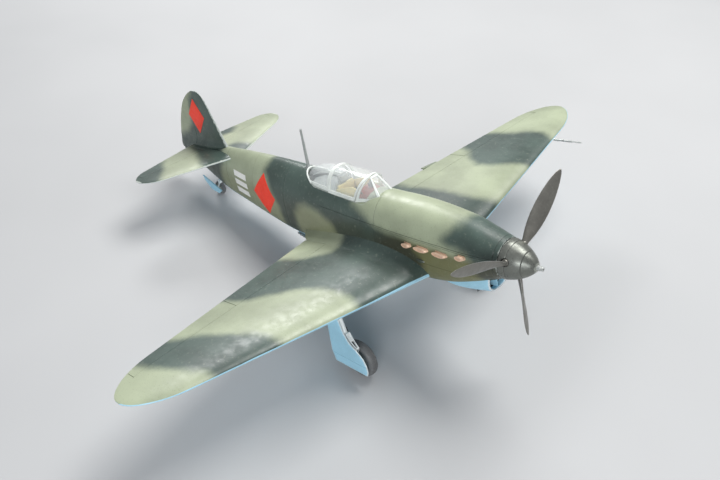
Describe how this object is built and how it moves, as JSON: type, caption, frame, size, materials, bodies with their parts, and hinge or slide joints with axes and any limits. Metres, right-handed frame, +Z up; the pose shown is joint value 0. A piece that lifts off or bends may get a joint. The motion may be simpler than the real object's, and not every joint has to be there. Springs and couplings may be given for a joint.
{
  "type": "propeller plane model",
  "caption": "Scale display model of a low-wing propeller fighter in two-tone camouflage, tail-down on its wheels, with spinning propeller, rolling wheels and a sliding canopy hood",
  "frame": {"origin": "middle of the bounding box in plan, on the floor plane under the three tyres", "axes": "+X to the nose along the floor, +Y to the port wing tip, +Z up; the model stands tail-down, so its thrust line points up and forward"},
  "size_m": [0.1796, 0.2088, 0.068],
  "materials": {
    "camouflage_paint": "airbrushed two-tone grey-green camouflage, semi-gloss",
    "sky_blue_paint": "light sky blue, satin",
    "cooler_core_black": "flat black mesh",
    "bare_light_metal": "light metal paint",
    "exhaust_copper": "copper tan, satin",
    "interior_grey_green": "interior grey green, flat",
    "seat_cream": "cream, flat",
    "panel_red_brown": "red brown, satin",
    "control_black": "satin black",
    "clear_canopy": "clear moulded plastic with painted frames",
    "mast_grey": "grey, satin",
    "strut_silver": "silver white paint",
    "wheel_green": "grey green, satin",
    "tyre_dark_grey": "tyre grey, flat",
    "spinner_green": "dark grey green with a metallic sheen",
    "blade_gunmetal": "dark gunmetal with worn edges",
    "shaft_steel": "grey moulded plastic"
  },
  "bodies": {
    "airframe": {"fuselage_left": "camouflage_paint", "fuselage_right": "camouflage_paint", "wing_lower": "sky_blue_paint", "wing_upper_left": "camouflage_paint", "wing_upper_right": "camouflage_paint", "stabiliser_left": "camouflage_paint", "stabiliser_right": "camouflage_paint", "chin_intake": "sky_blue_paint", "chin_cooler_core": "cooler_core_black", "belly_radiator": "sky_blue_paint", "radiator_core": "cooler_core_black", "radiator_flap": "bare_light_metal", "exhaust_stacks_left": "exhaust_copper", "exhaust_stacks_right": "exhaust_copper", "breather_scoops": "camouflage_paint", "cockpit_tub": "interior_grey_green", "pilot_seat": "seat_cream", "seat_armour": "interior_grey_green", "instrument_panel": "panel_red_brown", "control_stick": "control_black", "rudder_pedals": "interior_grey_green", "gunsight": "control_black", "side_console_left": "seat_cream", "side_console_right": "seat_cream", "rear_deck": "interior_grey_green", "windscreen": "clear_canopy", "rear_glazing": "clear_canopy", "antenna_mast": "mast_grey", "pitot_tube": "bare_light_metal", "aileron_tab": "camouflage_paint", "main_leg_left": "strut_silver", "main_leg_right": "strut_silver", "scissor_link_left": "strut_silver", "scissor_link_right": "strut_silver", "drag_strut_left": "strut_silver", "drag_strut_right": "strut_silver", "gear_door_left": "sky_blue_paint", "gear_door_right": "sky_blue_paint", "tail_leg": "strut_silver", "tail_door_left": "sky_blue_paint", "tail_door_right": "sky_blue_paint", "shaft_bushing": "shaft_steel", "nose_bulkhead": "interior_grey_green"},
    "propeller": {"spinner": "spinner_green", "spinner_backplate": "spinner_green", "prop_hub": "blade_gunmetal", "prop_blade_1": "blade_gunmetal", "prop_blade_2": "blade_gunmetal", "prop_blade_3": "blade_gunmetal", "prop_shaft": "shaft_steel", "shaft_collar": "shaft_steel", "cannon_muzzle": "bare_light_metal"},
    "hood": {"canopy_hood": "clear_canopy"},
    "main_wheel_left": {"main_hub_left": "wheel_green", "main_tyre_left": "tyre_dark_grey"},
    "main_wheel_right": {"main_hub_right": "wheel_green", "main_tyre_right": "tyre_dark_grey"},
    "tail_wheel": {"tail_wheel": "tyre_dark_grey"}
  },
  "joints": [
    {"name": "propeller_spin", "type": "hinge", "parent": "airframe", "child": "propeller", "pos_m": [0.08054, 0, 0.04987], "axis": [0.9783, 0, 0.2071], "continuous": true},
    {"name": "main_wheel_left_spin", "type": "hinge", "parent": "airframe", "child": "main_wheel_left", "pos_m": [0.04707, 0.0304, 0.0066], "axis": [0, 1, 0], "continuous": true},
    {"name": "main_wheel_right_spin", "type": "hinge", "parent": "airframe", "child": "main_wheel_right", "pos_m": [0.04707, -0.0304, 0.0066], "axis": [0, 1, 0], "continuous": true},
    {"name": "tail_wheel_spin", "type": "hinge", "parent": "airframe", "child": "tail_wheel", "pos_m": [-0.06604, 0, 0.003], "axis": [0, 1, 0], "continuous": true},
    {"name": "canopy_hood_slide", "type": "slide", "parent": "airframe", "child": "hood", "axis": [-0.9783, 0, -0.2071], "range_m": [0, 0.0095]}
  ]
}
